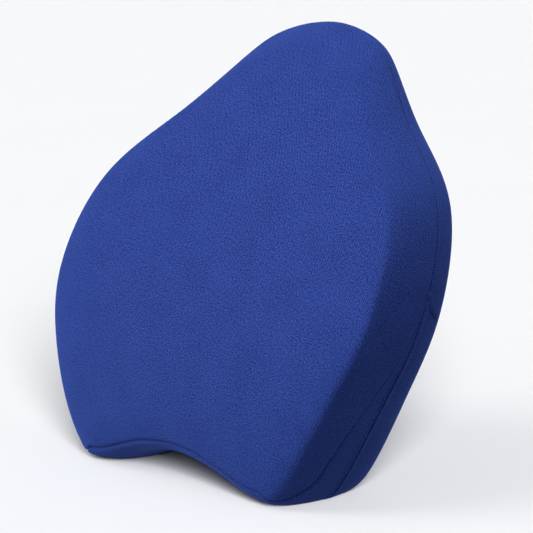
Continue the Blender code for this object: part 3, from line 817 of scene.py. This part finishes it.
def plated_look():
    """Nickel plate: faint tumbling marks, with uneven gloss and a slightly warm tarnish."""
    made, tree, shader = new_look("slider_metal", Metallic=1.0)
    place = Field.node(tree, "TexCoord", {}, {}, "Object")
    scratch = Field.node(tree, "Mapping", {}, {"Vector": place, "Scale": (1.0, 9.0, 1.6)}, 0)
    fine = clouded(tree, scratch, 0.0009, 5.0)
    stain = clouded(tree, place, 0.003)
    colour = blended(tree, stain.within(0.3, 0.7), PLATE_DULL, PLATE_BRIGHT)
    feed(tree, shader.inputs["Base Color"], colour)
    feed(tree, shader.inputs["Roughness"], fine * 0.25 + stain * 0.15 + 0.10)
    raised(tree, shader, fine, 0.00003, 0.5)
    return made


plated = plated_look()
for node in PLATED:
    bpy.data.objects[node].material_slots[0].material = plated

# ---- Liner -------------------------------------------------------------------------------------
# A thin white knitted bag, closed for good round the foam, so that the velour cover slides on
# easily and can be washed. It is sewn from a front and a back piece along the same seam.

LINER, LAYER_GAP = 0.0008, 0.0006
INNER_COLUMNS = COLUMNS[::2]
TROUGH_DEPTH, TROUGH_SLOPE, SEAM_PRESS = 0.0079, 0.010, 0.004
KNIT_SHADED, KNIT_WHITE = (0.58, 0.58, 0.57, 1), (0.84, 0.84, 0.83, 1)


def under_cover(around, along):
    """Depth of the liner: under the cover, pressed in by its seams, and lower under the zip."""
    x, z = np.moveaxis(outline(around)[0], -1, 0)
    before = (2 - along) * (seam_depth(z) - front_depth(x, z)) * math.pi / 2
    after = (along - 2) * (back_depth(x, z) - seam_depth(z)) * math.pi / 2
    away = np.maximum(np.maximum(before, after), 0)
    slope = smooth(1 - (away - TAPE_REACH) / TROUGH_SLOPE)
    room = (TROUGH_DEPTH - COVER - LAYER_GAP) * zip_share(around) * slope
    seams = SEAM_DIP * np.exp(-((away / SEAM_PRESS) ** 2))
    return COVER + LAYER_GAP + np.maximum(room, seams)


def knit_look():
    """Plain knit: columns of small loops, each a raised arch between two valleys."""
    made, tree, shader = new_look("liner_knit", Roughness=0.9, Sheen_Weight=0.1)
    flat = Field.node(tree, "UVMap", {"uv_map": "weave"}, {}, "UV")
    over = part_of(flat, 0)
    up = part_of(flat, 1)
    column = over.sine(0.0011)
    loop = (up + column.maths("ABSOLUTE", column) * 0.0004).sine(0.0009)
    knit = column * 0.5 + loop * 0.5
    shade = knit * 0.25 + clouded(tree, flat, 0.012)
    colour = blended(tree, shade.within(0.0, 1.0), KNIT_SHADED, KNIT_WHITE)
    feed(tree, shader.inputs["Base Color"], colour)
    raised(tree, shader, knit, 0.0002)
    return made


knit = knit_look()


def liner_piece(side, middle, turn):
    """Closed shell of one half of the liner, from the middle of its face to the back seam."""
    edge = 2.0 + 0 * INNER_COLUMNS
    along = rows_to_edge(middle, turn, edge, face_rows=24, turn_rows=24)
    around = np.broadcast_to(INNER_COLUMNS, along.shape)
    points, out = form(around, along), facing(around, along)
    depth = under_cover(around, along)
    outer = points - out * depth[..., None]
    inner = (points - out * (depth + LINER)[..., None])[::-1]
    pattern = flat_pattern(around, along, points)
    pattern = np.concatenate([pattern, pattern[::-1]])
    shell = np.concatenate([outer, inner])
    made = surface(f"liner_{side}_knit", shell, knit, pattern, poles=True)
    if side == "back":
        made.data.flip_normals()
    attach(made, "cushion")
    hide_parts(f"liner_{side}")


liner_piece("front", 0.0, 1.0)
liner_piece("back", 4.0, 3.0)

# ---- Foam core ---------------------------------------------------------------------------------
# Slow-recovery polyurethane foam, moulded in one piece. It carries the whole shape, with a shallow
# trough in its edge where the zip lies. Its skin shows small closed cells and some larger pits.

FOAM_ROWS = 96
# The darker end is partly the foam's own tone and partly painted shade in its cells and pits.
FOAM_DARK_AND_PIT_SHADE, FOAM_LIGHT = (0.60, 0.53, 0.36, 1), (0.84, 0.79, 0.64, 1)


def foam_look():
    """Moulded foam: pale cream, dimpled by cells of about a millimetre, with scattered pits."""
    made, tree, shader = new_look("foam", Roughness=0.95)
    place = Field.node(tree, "TexCoord", {}, {}, "Object")
    cell = Field.node(tree, "TexVoronoi", {}, {"Vector": place, "Scale": 900.0}, "Distance")
    pit = Field.node(tree, "TexVoronoi", {}, {"Vector": place, "Scale": 110.0}, "Distance")
    pit = pit.within(0.0, 0.18)
    cloud = clouded(tree, place, 0.03)
    relief = cell * 0.4 + pit * 0.6
    # The hollows of the cells and pits are painted darker, as painted shade, over a cloud of own
    # tone.
    shade = relief * 0.5 + cloud * 0.6
    colour = blended(tree, shade.within(0.2, 0.9), FOAM_DARK_AND_PIT_SHADE, FOAM_LIGHT)
    feed(tree, shader.inputs["Base Color"], colour)
    raised(tree, shader, relief, 0.0006, 0.7)
    return made


foam_along = 2 - 2 * np.cos(np.linspace(0, math.pi, FOAM_ROWS))[:, None] + 0 * INNER_COLUMNS
foam_around = INNER_COLUMNS + 0 * foam_along
foam_depth = under_cover(foam_around, foam_along) + LINER + LAYER_GAP
foam_points = form(foam_around, foam_along)
foam_points = foam_points - facing(foam_around, foam_along) * foam_depth[..., None]
foam = surface("moulded_foam", foam_points, foam_look(), poles=True)
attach(foam, "cushion")
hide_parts("foam_core")

# ---- Floor and lights --------------------------------------------------------------------------
# A pale studio floor under an even white sky. One wide soft lamp in front gives the cover its light
# face and its dark flank, and weaker ones fill the left side and the back. The last one lights only
# the floor, and throws the soft shadow.

FLOOR_SIZE, FLOOR_DROP = 40.0, 0.0003
FLOOR_DARK, FLOOR_LIGHT = (0.915, 0.915, 0.92, 1), (0.93, 0.93, 0.935, 1)
SKY = (0.90, 0.94, 1.0, 1.0)
SKY_GLOW, SKY_SEEN = 0.27, 0.70

floor_look, floor_tree, floor_shader = new_look("floor", Roughness=0.8, Specular_IOR_Level=0.1)
floor_place = Field.node(floor_tree, "TexCoord", {}, {}, "Object")
floor_shade = clouded(floor_tree, floor_place, 0.25)
floor_colour = blended(floor_tree, floor_shade, FLOOR_DARK, FLOOR_LIGHT)
feed(floor_tree, floor_shader.inputs["Base Color"], floor_colour)
corner = FLOOR_SIZE / 2
floor_mesh = bpy.data.meshes.new("floor")
floor_corners = [(-corner, -corner), (corner, -corner), (corner, corner), (-corner, corner)]
floor_mesh.from_pydata([(x, y, -FLOOR_DROP) for x, y in floor_corners], [], [(0, 1, 2, 3)])
floor_mesh.materials.append(floor_look)
floor = bpy.data.objects.new("floor", floor_mesh)
bpy.context.scene.collection.objects.link(floor)

sky = bpy.data.worlds.new("sky")
sky.use_nodes = True
backdrop = sky.node_tree.nodes["Background"]
backdrop.inputs["Color"].default_value = SKY
seen = Field.node(sky.node_tree, "LightPath", {}, {}, "Is Camera Ray")
feed(sky.node_tree, backdrop.inputs["Strength"], seen * SKY_SEEN + SKY_GLOW)
bpy.context.scene.world = sky
bpy.context.scene.view_settings.view_transform = "Standard"


def soft_sun(name, turn, rise, spread, strength):
    """Distant lamp from this turn and rise, as wide as this spread, all in degrees."""
    turn, rise = math.radians(turn), math.radians(rise)
    level = math.cos(rise)
    back = Vector((math.sin(turn) * level, -math.cos(turn) * level, math.sin(rise)))
    lamp = bpy.data.lights.new(name, "SUN")
    lamp.angle, lamp.energy = math.radians(spread), strength
    made = bpy.data.objects.new(name, lamp)
    made.location = back * 4
    made.rotation_mode = "QUATERNION"
    made.rotation_quaternion = (-back).to_track_quat("-Z", "Y")
    bpy.context.scene.collection.objects.link(made)
    return made


soft_sun("side_lamp", -30, 50, 30, 0.55)
key_lamp = soft_sun("key_lamp", -9, 52, 68, 8.9)
back_lamp = soft_sun("back_lamp", 165, 40, 40, 1.6)
floor_lamp = soft_sun("floor_lamp", 50, 25, 22, 4.9)
for lamp, state in ((key_lamp, "EXCLUDE"), (back_lamp, "EXCLUDE"), (floor_lamp, "INCLUDE")):
    lit = bpy.data.collections.new(f"{lamp.name}_floor")
    lit.objects.link(floor)
    lamp.light_linking.receiver_collection = lit
    lit.collection_objects[0].light_linking.link_state = state
